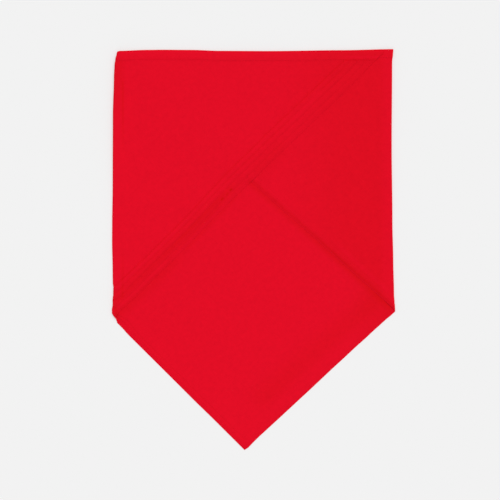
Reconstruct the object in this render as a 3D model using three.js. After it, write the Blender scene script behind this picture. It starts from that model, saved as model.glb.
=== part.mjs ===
import * as THREE from "three";

// A neckerchief: a triangle of red cotton with its long edge hemmed and a ribbed band along its left
// short edge, folded in thirds and lying flat. Millimetres, +Z up, resting on z = 0, long edge at +Y.

// The cloth opened out
const LONG_EDGE = 1000; // from tip to tip
const DEPTH = 478.6; // from the long edge to the corner opposite it
const CORNER_AT = 481; // where that corner lies along the long edge, from the left tip
const TIP_HEIGHT = 3; // height of the blunt end that closes a tip
const WALL = 1; // thickness of the cloth

// What is sewn on the wrong side: the hem of the long edge and the band of the left short edge
const HEM_WIDTH = 11;
const HEM_WALL = 0.8;
const HEM_BEVEL = 1.4; // width of the thinned strip along each side of the hem
const BAND_WIDTH = 26;
const BAND_HEIGHT = 1.6; // thickness of the band at its highest ridge

// How the cloth is folded
const LEFT_FLAP = 322; // from the left tip to the left fold
const FOLDED_WIDTH = 334.6; // from fold to fold, at the middle of the cloth's thickness
const TUCK = 9; // the right tip stops this far inside the left fold
const LEFT_SLIP = 2; // the left flap lies this far below the line that its fold gives it
const RIGHT_SLIP = 1.3; // the same for the right flap
const LEFT_FOLD_ROOM = 0.7; // how much higher the left fold stands than the layers that it holds
const RIGHT_FOLD_ROOM = 1.6; // the same for the right fold
const RELAX = 24; // distance in which a flap comes down from its fold to its layer
const EASE = 12; // distance in which the cloth comes down beside a hem or band under it
const SAG = 60; // distance in which the left flap comes down beside the layers under it

// Clearances
const LAYER_GAP = 0.4; // between two layers of cloth
const PIECE_GAP = 0.3; // between the cloth and the hem or band sewn on it

// How far the folded outline leaves its straight lines, and how far that spreads into the cloth
const OUTLINE_DRIFT = 5;
const DRIFT_SPREAD = 70;

// Places along each line as shares of it, and drift outwards as shares of OUTLINE_DRIFT.
// The folds run from the long edge down, and the long edge from the left fold to the right one.
const LEFT_FOLD_LINE = [
  { at: 0, out: -1 },
  { at: 0.03, out: -0.7 },
  { at: 0.1, out: -0.3 },
  { at: 0.25, out: -0.04 },
  { at: 0.52, out: 0 },
  { at: 0.72, out: 0.08 },
  { at: 0.9, out: -0.28 },
  { at: 0.96, out: -0.1 },
  { at: 1.01, out: -0.44 },
  { at: 1.07, out: 0 },
];
const RIGHT_FOLD_LINE = [
  { at: 0, out: 0.2 },
  { at: 0.035, out: -0.26 },
  { at: 0.36, out: -0.26 },
  { at: 0.66, out: -0.06 },
  { at: 0.8, out: 0.14 },
  { at: 1, out: 0.58 },
];
const LONG_EDGE_LINE = [
  { at: 0, out: -0.16 },
  { at: 0.18, out: 0.1 },
  { at: 0.35, out: -0.14 },
  { at: 0.56, out: -0.2 },
  { at: 0.82, out: 0 },
  { at: 1, out: 0.26 },
];

// Ridges of the band, from the cloth's free edge inwards: width as a share of BAND_WIDTH, and the
// heights of the crest and of the valley inside it as shares of BAND_HEIGHT. The two inner ridges
// stand on a second turn of the cloth, one step higher than the outer two.
const EDGE_HEIGHT = 0.3;
const CREST_FROM = 0.3; // the crest's flat top, as shares of its ridge's width
const CREST_TO = 0.7;
const RIDGES = [
  { width: 0.24, crest: 0.58, valley: 0.36 },
  { width: 0.26, crest: 0.6, valley: 0.4 },
  { width: 0.27, crest: 1, valley: 0.72 },
  { width: 0.23, crest: 0.94, valley: 0.35 },
];

// How many steps the meshes take
const BEND_STEPS = 8;
const RELAX_STEPS = 5;
const FLAP_STEPS = 20;
const HALF_BASE_STEPS = 8;
const INNER_ROWS = 5;
const BAND_ROWS = 4;
const BAND_END_STEPS = 4;

const CLOTH_RED = 0xe20f25;
const BAND_RED = 0xdc0e24;

// One step down from 1 to 0, smooth at both ends
const fall = (past, over) => 1 - THREE.MathUtils.smoothstep(past, 0, over);

// The value of a line's table at a share of its length
function driftAt(line, share) {
  const next = line.findIndex((row) => row.at >= share);
  const [from, to] = next < 0 ? line.slice(-2) : [line[Math.max(0, next - 1)], line[Math.max(1, next)]];
  const way = THREE.MathUtils.smoothstep(share, from.at, to.at);
  return THREE.MathUtils.lerp(from.out, to.out, way) * OUTLINE_DRIFT;
}

// The opened cloth: u runs along the long edge from the left tip, w down from that edge
const leftSlope = DEPTH / CORNER_AT;
const rightSlope = DEPTH / (LONG_EDGE - CORNER_AT);
const leftSteep = Math.hypot(1, leftSlope); // height in w of a strip one wide along the left edge
const rightSteep = Math.hypot(1, rightSlope);
const depthAt = (u) => Math.min(leftSlope * u, rightSlope * (LONG_EDGE - u));

// The two bends. The left one holds the base, the right flap with its hem, and the left flap.
const layer = WALL + LAYER_GAP;
const sewn = HEM_WALL + PIECE_GAP;
const leftRadius = (2 * layer + sewn + LEFT_FOLD_ROOM) / 2;
const rightRadius = (layer + RIGHT_FOLD_ROOM) / 2;
const leftBendFlap = LEFT_FLAP - (Math.PI * leftRadius) / 2;
const leftBendBase = LEFT_FLAP + (Math.PI * leftRadius) / 2;
const rightAxis = FOLDED_WIDTH - rightRadius;
const rightBendBase = leftBendBase + rightAxis - leftRadius;
const rightBendFlap = rightBendBase + Math.PI * rightRadius;
const leftBend = { axis: leftRadius, side: -1, radius: leftRadius, slip: LEFT_SLIP };
const rightBend = { axis: rightAxis, side: 1, radius: rightRadius, slip: RIGHT_SLIP };
const leftFoldLength = depthAt(LEFT_FLAP);
const rightFoldLength = depthAt((rightBendBase + rightBendFlap) / 2);

// The cloth's two ends
const leftEnd = TIP_HEIGHT / leftSlope;
const rightEnd = Math.min(
  rightBendFlap + rightAxis - TUCK,
  LONG_EDGE - TIP_HEIGHT / rightSlope,
);

// Height of the middle of the base, lifted over the hem and the band that lie under it
function baseHeight(x, w, ease) {
  const u = leftBendBase + Math.max(x, leftRadius) - leftRadius;
  const insideLeftEdge = (leftSlope * u - w) / leftSteep;
  const overHem = fall(w - HEM_WIDTH, ease);
  const overBand = fall(insideLeftEdge - BAND_WIDTH, ease);
  return WALL / 2 + sewn * Math.max(overHem, overBand);
}

// How much higher than its flat layer the right flap still stands beside the right fold
const rightPuff = (x) => (2 * rightRadius - layer) * fall(rightAxis - x, RELAX);

const rightFlapHeight = (x, w) => baseHeight(x, w, EASE) + layer + rightPuff(x);

// The left flap lies on the right flap as far as that reaches, and on the base below its free edge
function leftFlapHeight(x, w) {
  const rightEdge = rightSlope * (LONG_EDGE - rightBendFlap - rightAxis + x) + RIGHT_SLIP;
  const belowRightEdge = (w - rightEdge) / rightSteep - WALL;
  const rightLayers = layer + sewn * fall(w - HEM_WIDTH, SAG) + rightPuff(x);
  const laid = baseHeight(x, w, SAG) + rightLayers * fall(belowRightEdge, SAG) + layer;
  const nearFold = fall(x - leftRadius, RELAX);
  const rolled = baseHeight(x, w, THREE.MathUtils.lerp(SAG, EASE, nearFold)) + 2 * leftRadius;
  return THREE.MathUtils.lerp(laid, rolled, nearFold);
}

// A point of the folded cloth: x from the left fold, w below the long edge, z above the ground
function placed(x, w, z) {
  const left = driftAt(LEFT_FOLD_LINE, w / leftFoldLength) * fall(x, DRIFT_SPREAD);
  const right = driftAt(RIGHT_FOLD_LINE, w / rightFoldLength) * fall(FOLDED_WIDTH - x, DRIFT_SPREAD);
  const up = driftAt(LONG_EDGE_LINE, x / FOLDED_WIDTH) * fall(w, DRIFT_SPREAD);
  return [x - left + right, up - w, z];
}

// A point in a bend: turn runs from 0 at the base to half a turn at the flap
function bent(bend, turn, w, n) {
  const reach = bend.radius - n;
  const down = w + (bend.slip * turn) / Math.PI;
  const height = baseHeight(bend.axis, down, EASE) + bend.radius - reach * Math.cos(turn);
  return placed(bend.axis + bend.side * reach * Math.sin(turn), down, height);
}

// Where a point of the opened cloth goes, n above its right side, which is the base's upper side
function folded(u, w, n) {
  if (u < leftBendFlap) {
    const x = leftRadius + leftBendFlap - u;
    return placed(x, w + LEFT_SLIP, leftFlapHeight(x, w + LEFT_SLIP) - n);
  }
  if (u < leftBendBase) {
    return bent(leftBend, (leftBendBase - u) / leftRadius, w, n);
  }
  if (u <= rightBendBase) {
    const x = leftRadius + u - leftBendBase;
    return placed(x, w, baseHeight(x, w, EASE) + n);
  }
  if (u <= rightBendFlap) {
    return bent(rightBend, (u - rightBendBase) / rightRadius, w, n);
  }
  const x = rightAxis - (u - rightBendFlap);
  return placed(x, w + RIGHT_SLIP, rightFlapHeight(x, w + RIGHT_SLIP) - n);
}

// A closed sheet. Each column is a list of points {u, w, high, low}, from the long edge down, with
// the heights of the sheet's two faces above the middle of the cloth.
function sheet(name, columns, color) {
  const rows = columns[0].length;
  const lowStart = columns.length * rows;
  const at = (i, j) => i * rows + j;
  const high = columns.flat().map((p) => folded(p.u, p.w, p.high));
  const low = columns.flat().map((p) => folded(p.u, p.w, p.low));
  const index = [];
  for (let i = 0; i < columns.length - 1; i++) {
    for (let j = 0; j < rows - 1; j++) {
      const [a, b, c, d] = [at(i, j), at(i, j + 1), at(i + 1, j + 1), at(i + 1, j)];
      index.push(a, b, c, a, c, d);
      index.push(...[c, b, a, d, c, a].map((vertex) => lowStart + vertex));
    }
  }
  const last = columns.length - 1;
  const down = Array.from({ length: rows - 1 }, (_, j) => j);
  const across = Array.from({ length: last }, (_, i) => i);
  const rim = [
    ...down.map((j) => at(0, j)),
    ...across.map((i) => at(i, rows - 1)),
    ...down.map((j) => at(last, rows - 1 - j)),
    ...across.map((i) => at(last - i, 0)),
  ];
  rim.forEach((from, k) => {
    const to = rim[(k + 1) % rim.length];
    index.push(lowStart + from, lowStart + to, to, lowStart + from, to, from);
  });
  const geometry = new THREE.BufferGeometry();
  geometry.setAttribute("position", new THREE.Float32BufferAttribute([...high, ...low].flat(), 3));
  geometry.setIndex(index);
  const material = new THREE.MeshStandardMaterial({ color, roughness: 0.85, metalness: 0 });
  const mesh = new THREE.Mesh(geometry, material);
  mesh.name = name;
  return mesh;
}

// Equal steps from one value up to another, which starts the next run
const steps = (from, to, count) =>
  Array.from({ length: count }, (_, k) => THREE.MathUtils.lerp(from, to, k / count));

const clothColumns = [
  ...steps(leftEnd, leftBendFlap - RELAX, FLAP_STEPS),
  ...steps(leftBendFlap - RELAX, leftBendFlap, RELAX_STEPS),
  ...steps(leftBendFlap, leftBendBase, BEND_STEPS),
  ...steps(leftBendBase, CORNER_AT, HALF_BASE_STEPS),
  ...steps(CORNER_AT, rightBendBase, HALF_BASE_STEPS),
  ...steps(rightBendBase, rightBendFlap, BEND_STEPS),
  ...steps(rightBendFlap, rightBendFlap + RELAX, RELAX_STEPS),
  ...steps(rightBendFlap + RELAX, rightEnd, FLAP_STEPS),
  rightEnd,
];

// Rows of one column: along the hem, inside, and along the band. They close up towards a tip.
function clothRows(u) {
  const steep = u <= CORNER_AT ? leftSteep : rightSteep;
  const topRows = [0, HEM_WIDTH, HEM_WIDTH + EASE];
  const edgeRows = [BAND_WIDTH + EASE, ...steps(BAND_WIDTH, 0, BAND_ROWS), 0].map((d) => d * steep);
  const inner = EASE * (INNER_ROWS + 1);
  const squeeze = Math.min(1, depthAt(u) / (topRows.at(-1) + inner + edgeRows[0]));
  const from = topRows.at(-1) * squeeze;
  const to = depthAt(u) - edgeRows[0] * squeeze;
  return [
    ...topRows.slice(0, -1).map((w) => w * squeeze),
    ...steps(from, to, INNER_ROWS + 1),
    ...edgeRows.map((w) => depthAt(u) - w * squeeze),
  ];
}

function foldedCloth() {
  const columns = clothColumns.map((u) =>
    clothRows(u).map((w) => ({ u, w, high: WALL / 2, low: -WALL / 2 })),
  );
  return sheet("folded_cloth", columns, CLOTH_RED);
}

function longEdgeHem() {
  const high = -WALL / 2 - PIECE_GAP;
  const columns = clothColumns.map((u) => {
    const width = Math.min(HEM_WIDTH, depthAt(u));
    const bevel = (HEM_BEVEL * width) / HEM_WIDTH;
    const full = high - HEM_WALL;
    return [
      { u, w: 0, high, low: (high + full) / 2 },
      { u, w: bevel, high, low: full },
      { u, w: width - bevel, high, low: full },
      { u, w: width, high, low: (high + full) / 2 },
    ];
  });
  return sheet("long_edge_hem", columns, CLOTH_RED);
}

// Section of the band, from its inner side out to the cloth's free edge: distance from that edge
// and thickness
function bandSection() {
  const section = [{ inside: 0, thick: EDGE_HEIGHT * BAND_HEIGHT }];
  let inside = 0;
  for (const ridge of RIDGES) {
    const width = ridge.width * BAND_WIDTH;
    section.push({ inside: inside + width * CREST_FROM, thick: ridge.crest * BAND_HEIGHT });
    section.push({ inside: inside + width * CREST_TO, thick: ridge.crest * BAND_HEIGHT });
    section.push({ inside: inside + width, thick: ridge.valley * BAND_HEIGHT });
    inside += width;
  }
  return section.reverse();
}

// The ridges show on the left flap. Under the base, where the band is hidden, it lies flat.
function leftEdgeBand() {
  const section = bandSection();
  const high = -WALL / 2 - PIECE_GAP;
  const endAt = (inside) => (HEM_WIDTH + PIECE_GAP + inside * leftSteep) / leftSlope;
  const wholeFrom = endAt(BAND_WIDTH) + EASE;
  const whole = clothColumns.filter((u) => u > wholeFrom && u <= CORNER_AT);
  const point = (u, { inside, thick }) => {
    const shown = THREE.MathUtils.clamp((leftBendBase - u) / (leftBendBase - leftBendFlap), 0, 1);
    const low = high - THREE.MathUtils.lerp(HEM_WALL, thick, shown);
    return { u, w: leftSlope * u - inside * leftSteep, high, low };
  };
  const columns = [
    ...steps(0, 1, BAND_END_STEPS).map((share) =>
      section.map((s) => point(THREE.MathUtils.lerp(endAt(s.inside), whole[0], share), s)),
    ),
    ...whole.map((u) => section.map((s) => point(u, s))),
  ];
  return sheet("left_edge_band", columns, BAND_RED);
}

const neckerchief = new THREE.Group();
neckerchief.name = "neckerchief";
neckerchief.add(foldedCloth(), longEdgeHem(), leftEdgeBand());

// The origin is the middle of the box's underside
const box = new THREE.Box3().setFromObject(neckerchief);
const middle = box.getCenter(new THREE.Vector3());
for (const mesh of neckerchief.children) {
  mesh.geometry.translate(-middle.x, -middle.y, -box.min.z);
}

export default neckerchief;
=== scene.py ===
"""A red cotton neckerchief, hemmed along its long edge, folded in thirds and lying flat.

Lengths are in millimetres until a mesh is made. On the opened cloth u runs along the long edge from the
left tip, w runs down from that edge, and n stands up from the right side of the cloth, which is the
upper side of the base. The two flaps show the wrong side, which carries the hem and the band.
"""

import logging
import math
from dataclasses import dataclass, field
from enum import Enum, IntEnum

import bpy
import numpy as np
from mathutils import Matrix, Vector

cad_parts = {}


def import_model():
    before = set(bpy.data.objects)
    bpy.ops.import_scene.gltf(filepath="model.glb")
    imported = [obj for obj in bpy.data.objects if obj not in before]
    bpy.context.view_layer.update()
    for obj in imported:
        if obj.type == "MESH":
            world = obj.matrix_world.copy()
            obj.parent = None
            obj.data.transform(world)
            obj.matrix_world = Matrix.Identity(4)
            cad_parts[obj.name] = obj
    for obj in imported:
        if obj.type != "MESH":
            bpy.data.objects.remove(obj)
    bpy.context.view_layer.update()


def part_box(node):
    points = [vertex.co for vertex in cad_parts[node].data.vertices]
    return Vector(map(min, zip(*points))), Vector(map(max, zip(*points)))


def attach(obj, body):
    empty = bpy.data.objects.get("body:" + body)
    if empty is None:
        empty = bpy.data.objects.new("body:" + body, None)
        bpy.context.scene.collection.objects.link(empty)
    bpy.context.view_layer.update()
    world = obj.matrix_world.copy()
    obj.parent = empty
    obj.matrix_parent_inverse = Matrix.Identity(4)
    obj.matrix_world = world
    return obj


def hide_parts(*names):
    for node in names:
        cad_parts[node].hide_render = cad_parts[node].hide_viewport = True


LOG = logging.getLogger("neckerchief")
MM = 0.001
CLOTH_UV = "opened_cloth"
SEAM_ATTRIBUTE = "seam"
# Per point: 1 where its face shows, and its own painted shade
SHADE_MARKS_ATTRIBUTE = "shade_marks"
UP_ATTRIBUTE = "up"
SHARP_ANGLE = math.radians(60)
SEAM_APART = 1200.0  # keeps the puckers of one edge apart from those of the next, along the noise
PUCKER_REACH = 12.0  # how far from its row of stitches the cloth puckers
CLEAR = 0.02  # least distance between the faces of two pieces
EDGE_LEAN = 0.42  # how far an edge's tip lies from the middle of the wall, as a share of the wall
# Steps round a free edge, as shares of its nose: positive on the right side, negative on the wrong side
EDGE_STEPS = np.array([0.92, 0.78, 0.62, 0.46, 0.3, 0.16, 0.05])
EDGE_STEPS = np.concatenate([EDGE_STEPS, -EDGE_STEPS[::-1]])

Array = np.ndarray
Material = bpy.types.Material
Node = bpy.types.Node
Piece = bpy.types.Object
Socket = bpy.types.NodeSocket
Tree = bpy.types.NodeTree
Table = tuple[tuple[float, float], ...]


def smooth(past: Array, over: float | Array) -> Array:
    """Rises from 0 to 1, level at both ends.

    Args:
        past: Distance gone since the start of the rise.
        over: Length of the rise.

    Returns:
        The share risen.
    """
    share = np.clip(past / over, 0.0, 1.0)
    return share * share * (3.0 - 2.0 * share)


def fall(past: Array, over: float | Array) -> Array:
    """Falls from 1 to 0, level at both ends.

    Args:
        past: Distance gone since the start of the fall.
        over: Length of the fall.

    Returns:
        The share that is left.
    """
    return 1.0 - smooth(past, over)


def table_at(table: Table, share: Array) -> Array:
    """Reads a table of (place, value) rows, with level joins between its rows.

    Args:
        table: The rows, in order of place.
        share: The places to read.

    Returns:
        The value at each place.
    """
    places = np.array([row[0] for row in table])
    values = np.array([row[1] for row in table])
    after = np.clip(np.searchsorted(places, share), 1, len(places) - 1)
    way = smooth(share - places[after - 1], places[after] - places[after - 1])
    return values[after - 1] + (values[after] - values[after - 1]) * way


def run(*stops: tuple[float, int]) -> Array:
    """Lays out numbers between stops.

    Args:
        stops: Each stop with the number of steps to the next one, which the last stop doesn't use.

    Returns:
        The numbers, the last stop included.
    """
    parts = [
        np.linspace(here, there, count, endpoint=False)
        for (here, count), (there, _) in zip(stops, stops[1:])
    ]
    return np.concatenate([*parts, [stops[-1][0]]])


def linear_colour(code: str) -> tuple[float, float, float, float]:
    """Turns an sRGB hex colour into a linear one.

    Args:
        code: The colour, such as #E40D25.

    Returns:
        Red, green, blue and an alpha of 1.
    """
    parts = [int(code[i : i + 2], 16) / 255 for i in (1, 3, 5)]
    red, green, blue = (c / 12.92 if c <= 0.04045 else ((c + 0.055) / 1.055) ** 2.4 for c in parts)
    return (red, green, blue, 1.0)


def add_node(tree: Tree, kind: str, inputs: dict | None = None, **settings: object) -> Node:
    """Adds a node with its settings and links.

    Args:
        tree: The tree that gets the node.
        kind: The node's type.
        inputs: Values, sockets, or nodes for their first output in use, by the input's name or number.
        settings: Properties of the node.

    Returns:
        The new node.
    """
    node = tree.nodes.new(kind)
    for name, value in settings.items():
        setattr(node, name, value)
    for key, value in (inputs or {}).items():
        if isinstance(value, Node):
            value = next(socket for socket in value.outputs if socket.enabled)
        if isinstance(value, Socket):
            tree.links.new(value, node.inputs[key])
        else:
            node.inputs[key].default_value = value
    return node


def empty_material(name: str) -> Material:
    """Makes a material whose node tree is empty.

    Args:
        name: Name of the material.

    Returns:
        The material.
    """
    material = bpy.data.materials.new(name)
    material.use_nodes = True
    material.node_tree.nodes.clear()
    return material


@dataclass(frozen=True)
class FlatCloth:
    """The cloth opened out: a triangle with its long edge at w = 0.

    The left short edge runs from the left tip to the corner, and the right one from there to the right tip.
    """

    long_edge: float = 1000.0
    depth: float = 478.6
    corner_at: float = 481.0
    tip_height: float = 3.0
    wall: float = 0.6

    @property
    def left_slope(self) -> float:
        """Fall of the left short edge."""
        return self.depth / self.corner_at

    @property
    def right_slope(self) -> float:
        """Fall of the right short edge."""
        return self.depth / (self.long_edge - self.corner_at)

    @property
    def left_steep(self) -> float:
        """Depth in w of a strip one wide along the left short edge."""
        return math.hypot(1.0, self.left_slope)

    @property
    def right_steep(self) -> float:
        """Depth in w of a strip one wide along the right short edge."""
        return math.hypot(1.0, self.right_slope)

    def depth_at(self, u: Array) -> Array:
        """Depth of the cloth at a place along the long edge."""
        return np.minimum(self.left_slope * u, self.right_slope * (self.long_edge - u))

    def inside_left(self, u: Array, w: Array) -> Array:
        """Distance from the left short edge."""
        return (self.left_slope * u - w) / self.left_steep

    def inside_right(self, u: Array, w: Array) -> Array:
        """Distance from the right short edge."""
        return (self.right_slope * (self.long_edge - u) - w) / self.right_steep

    def steep_at(self, u: Array) -> Array:
        """Depth in w of a strip one wide along the short edge below a place on the long edge."""
        return np.where(u <= self.corner_at, self.left_steep, self.right_steep)


@dataclass(frozen=True)
class Trim:
    """Widths of what is turned or sewn along the three edges, and what it adds in height."""

    hem: float = 11.2
    band: float = 26.9
    roll: float = 7.5
    hem_thick: float = 0.28
    roll_thick: float = 0.15
    gap: float = 0.05
    nose: float = 2.2  # how far the hem takes to round over
    band_nose: float = 5.2
    roll_nose: float = 5.0
    hem_seam: float = 9.6  # rows of stitches, from the edge inwards
    left_seam: float = 9.2
    right_seam: float = 6.4


@dataclass(frozen=True)
class Bend:
    """One fold: half a turn about an axis at x, to the left or the right, pressed flatter further down."""

    axis: float
    side: int
    radius: float
    slip: float
    pressed: float  # share of its height that is left at the lower end
    press_from: float = 60.0
    press_over: float = 190.0

    def tall(self, w: Array) -> Array:
        """Height from the middle of the lower layer to the middle of the upper one."""
        return 2 * self.radius * (1 - (1 - self.pressed) * smooth(w - self.press_from, self.press_over))


@dataclass(frozen=True)
class Waves:
    """Slow waves in a layer of cloth: rows of wavelength along x, wavelength along w, phase and weight."""

    height: float
    rows: tuple[tuple[float, float, float, float], ...]

    def at(self, x: Array, w: Array) -> Array:
        """Height of the waves, never below 0.

        Args:
            x: Distance from the left fold.
            w: Distance below the long edge.

        Returns:
            The height.
        """
        total = sum(row[3] for row in self.rows)
        waves = sum(
            weight * np.sin(2 * math.pi * (x / along + w / down) + phase)
            for along, down, phase, weight in self.rows
        )
        return self.height * (0.5 + 0.5 * waves / total)


class Zone(IntEnum):
    """The parts of the folded cloth, in order along the long edge."""

    LEFT_FLAP = 0
    LEFT_BEND = 1
    BASE = 2
    RIGHT_BEND = 3
    RIGHT_FLAP = 4


@dataclass(frozen=True)
class FoldedForm:
    """How the opened cloth is folded in thirds: the right flap over the base, the left flap over both."""

    cut: FlatCloth = field(default_factory=FlatCloth)
    trim: Trim = field(default_factory=Trim)
    left_flap: float = 322.0
    folded_width: float = 334.6
    tuck: float = 9.0  # how far before the left fold the right flap's tip ends
    tip_length: float = 8.0  # the part of the left tip that has few columns
    left_slip: float = 2.0
    right_slip: float = 0.3
    left_radius: float = 2.3
    right_radius: float = 1.25
    left_pressed: float = 0.3
    right_pressed: float = 0.55
    layer: float = 1.05  # from the middle of one layer to the middle of the next
    relax: float = 24.0  # distance in which a flap comes down from its fold
    ease: float = 12.0  # distance in which the cloth comes down beside the hem under it
    band_ease: float = 34.0
    roll_ease: float = 10.0
    sag: float = 60.0  # distance in which the left flap comes down beside the layers under it
    edge_sag: float = 7.0  # the same beside its free edge
    edge_reach: float = 16.0  # distance in which a flap's free edge settles on the layer under it
    edge_drop: float = 0.42
    right_fade: float = 2.0  # a flap's waves fade beside its free edge, over this many reaches
    left_fade: float = 3.0
    settle_over: float = 12.0  # distance from the right fold in which the free edge comes to settle
    close_to_fold: float = 20.0
    roll_held: float = 0.8  # share of the roll's nose that still holds up the flap above it
    quick_share: float = 0.35  # how much sooner the left flap comes down from its fold at its free edge
    quick_over: float = 60.0
    drift: float = 5.0  # how far a value of 1 in the next three tables moves the outline
    drift_spread: float = 70.0
    # How far the folded outline leaves its straight lines: share of the line's length, and value
    left_line: Table = (
        (0, -1.15), (0.014, -1), (0.03, -0.7), (0.05, -0.45), (0.1, -0.29), (0.25, -0.04), (0.5, 0.02),
        (0.66, 0.15), (0.72, 0.17), (0.81, 0.04), (0.87, 0), (0.9, -0.27), (0.955, -0.08), (0.975, 0.12),
        (0.985, 0.1), (0.992, -0.13), (1, -0.47), (1.0075, -0.8), (1.014, -0.84), (1.0225, -0.58),
        (1.07, 0),
    )
    right_line: Table = (
        (0, 0.2), (0.02, 0.11), (0.05, -0.03), (0.36, -0.14), (0.66, 0.05), (0.8, 0.25), (0.93, 0.43),
        (0.96, 0.56), (1, 0.74),
    )
    long_line: Table = (
        (0, -0.16), (0.115, 0.07), (0.18, 0.11), (0.28, 0.07), (0.385, -0.15), (0.56, -0.2), (0.82, 0),
        (1, 0.26),
    )
    # How far the short edges leave their straight lines: place along the long edge, and distance outwards
    left_edge_line: Table = (
        (0, 0), (90, 0.2), (138, 0.6), (187, 0.5), (235, 2.0), (280, 1.8), (314, 0.9), (320, 0.4),
        (326, 2.7), (330, 2.4), (334, 1.7), (342, 1.3), (420, 1.3), (445, 0.95), (481, 1.0),
    )
    right_edge_line: Table = (
        (481, 1.0), (484, 1.7), (487, 2.3), (491, 1.4), (497, 1.1), (517, 1.2), (555, 1.1), (595, 0.65),
        (621, -0.35), (635, -1.1), (648, -1.4), (655, -0.95), (659, -1.3), (664, -2.4), (693, -3.0),
        (745, -2.6), (795, -0.9), (829, -0.6), (900, -1.0), (1000, 0),
    )
    edge_spread: float = 70.0
    edge_stiff: float = 15.0  # width beside a short edge that is drawn along with it as a whole
    edge_from_hem: float = 40.0  # distance below the hem in which that drawing sets in
    # How far the left flap is drawn away from its fold: place along the long edge, and distance
    tip_line: Table = ((0, 5.4), (42, 6.0), (90, 4.0), (138, 1.4), (187, 0))
    base_waves: Waves = Waves(0.45, ((190, 260, 0.4, 1.0), (-140, 120, 2.1, 0.7), (75, -210, 4.0, 0.5)))
    right_waves: Waves = Waves(0.6, ((150, -220, 1.1, 1.0), (95, 140, 3.0, 0.6), (-60, 170, 5.2, 0.4)))
    left_waves: Waves = Waves(0.7, ((170, 200, 2.6, 1.0), (-110, 150, 0.3, 0.7), (70, 95, 4.4, 0.35)))

    @property
    def under(self) -> float:
        """How much the hem or the band lifts the cloth that lies on it."""
        return self.trim.hem_thick + self.trim.gap

    @property
    def left_bend_flap(self) -> float:
        """Where the left flap ends and its bend starts, along the long edge."""
        return self.left_flap - math.pi * self.left_radius / 2

    @property
    def left_bend_base(self) -> float:
        """Where the left bend ends and the base starts."""
        return self.left_flap + math.pi * self.left_radius / 2

    @property
    def right_axis(self) -> float:
        """Axis of the right bend."""
        return self.folded_width - self.right_radius

    @property
    def left_fold(self) -> Bend:
        """The bend between the base and the left flap."""
        return Bend(self.left_radius, -1, self.left_radius, self.left_slip, self.left_pressed)

    @property
    def right_fold(self) -> Bend:
        """The bend between the base and the right flap."""
        return Bend(self.right_axis, 1, self.right_radius, self.right_slip, self.right_pressed)

    @property
    def right_bend_base(self) -> float:
        """Where the base ends and the right bend starts."""
        return self.left_bend_base + self.right_axis - self.left_radius

    @property
    def right_bend_flap(self) -> float:
        """Where the right bend ends and the right flap starts."""
        return self.right_bend_base + math.pi * self.right_radius

    @property
    def left_end(self) -> float:
        """Where the cloth starts, at its left tip."""
        return self.cut.tip_height / self.cut.left_slope

    @property
    def right_end(self) -> float:
        """Where the cloth ends, at its right tip."""
        tucked = self.right_bend_flap + self.right_axis - self.tuck
        return min(tucked, self.cut.long_edge - self.cut.tip_height / self.cut.right_slope)

    def base_height(self, x: Array, w: Array, hem_ease: float | Array) -> Array:
        """Height of the middle of the base, lifted over the turned edges that lie under it.

        Args:
            x: Distance from the left fold.
            w: Distance below the long edge.
            hem_ease: Distance in which the cloth comes down beside the hem.

        Returns:
            The height above the ground.
        """
        cut, trim = self.cut, self.trim
        u = self.left_bend_base + np.maximum(x, self.left_radius) - self.left_radius
        over_hem = fall(w - trim.hem, hem_ease)
        over_band = fall(cut.inside_left(u, w) - trim.band, self.band_ease)
        over_roll = fall(cut.inside_right(u, w) - trim.roll, self.roll_ease)
        lift = np.maximum(self.under * np.maximum(over_hem, over_band), trim.roll_thick * over_roll)
        return cut.wall / 2 + lift + self.base_waves.at(x, w)

    def right_puff(self, x: Array, w: Array) -> Array:
        """How much higher than its flat layer the right flap stands beside its fold."""
        return (self.right_fold.tall(w) - self.layer) * fall(self.right_axis - x, self.relax)

    def right_flap_height(self, x: Array, w: Array) -> Array:
        """Height of the middle of the right flap.

        Args:
            x: Distance from the left fold.
            w: Distance below the long edge.

        Returns:
            The height above the ground.
        """
        from_fold = self.right_axis - x
        u = self.right_bend_flap + from_fold
        inside = self.cut.inside_right(u, w - self.right_slip)
        waves = self.right_waves.at(x, w) * smooth(from_fold, self.relax)
        raised = self.right_puff(x, w) + waves
        fade = self.right_fade * self.edge_reach
        settled = self.settled_edge(inside) * smooth(from_fold, self.settle_over)
        loose = raised * smooth(inside, fade) + settled
        close = raised * fall(inside, fade) * fall(from_fold, self.close_to_fold)
        return self.base_height(x, w, self.ease) + self.layer + loose + close

    def settled_edge(self, inside: Array) -> Array:
        """How much lower a flap lies beside its free edge."""
        return -self.edge_drop * fall(inside, self.edge_reach)

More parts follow.
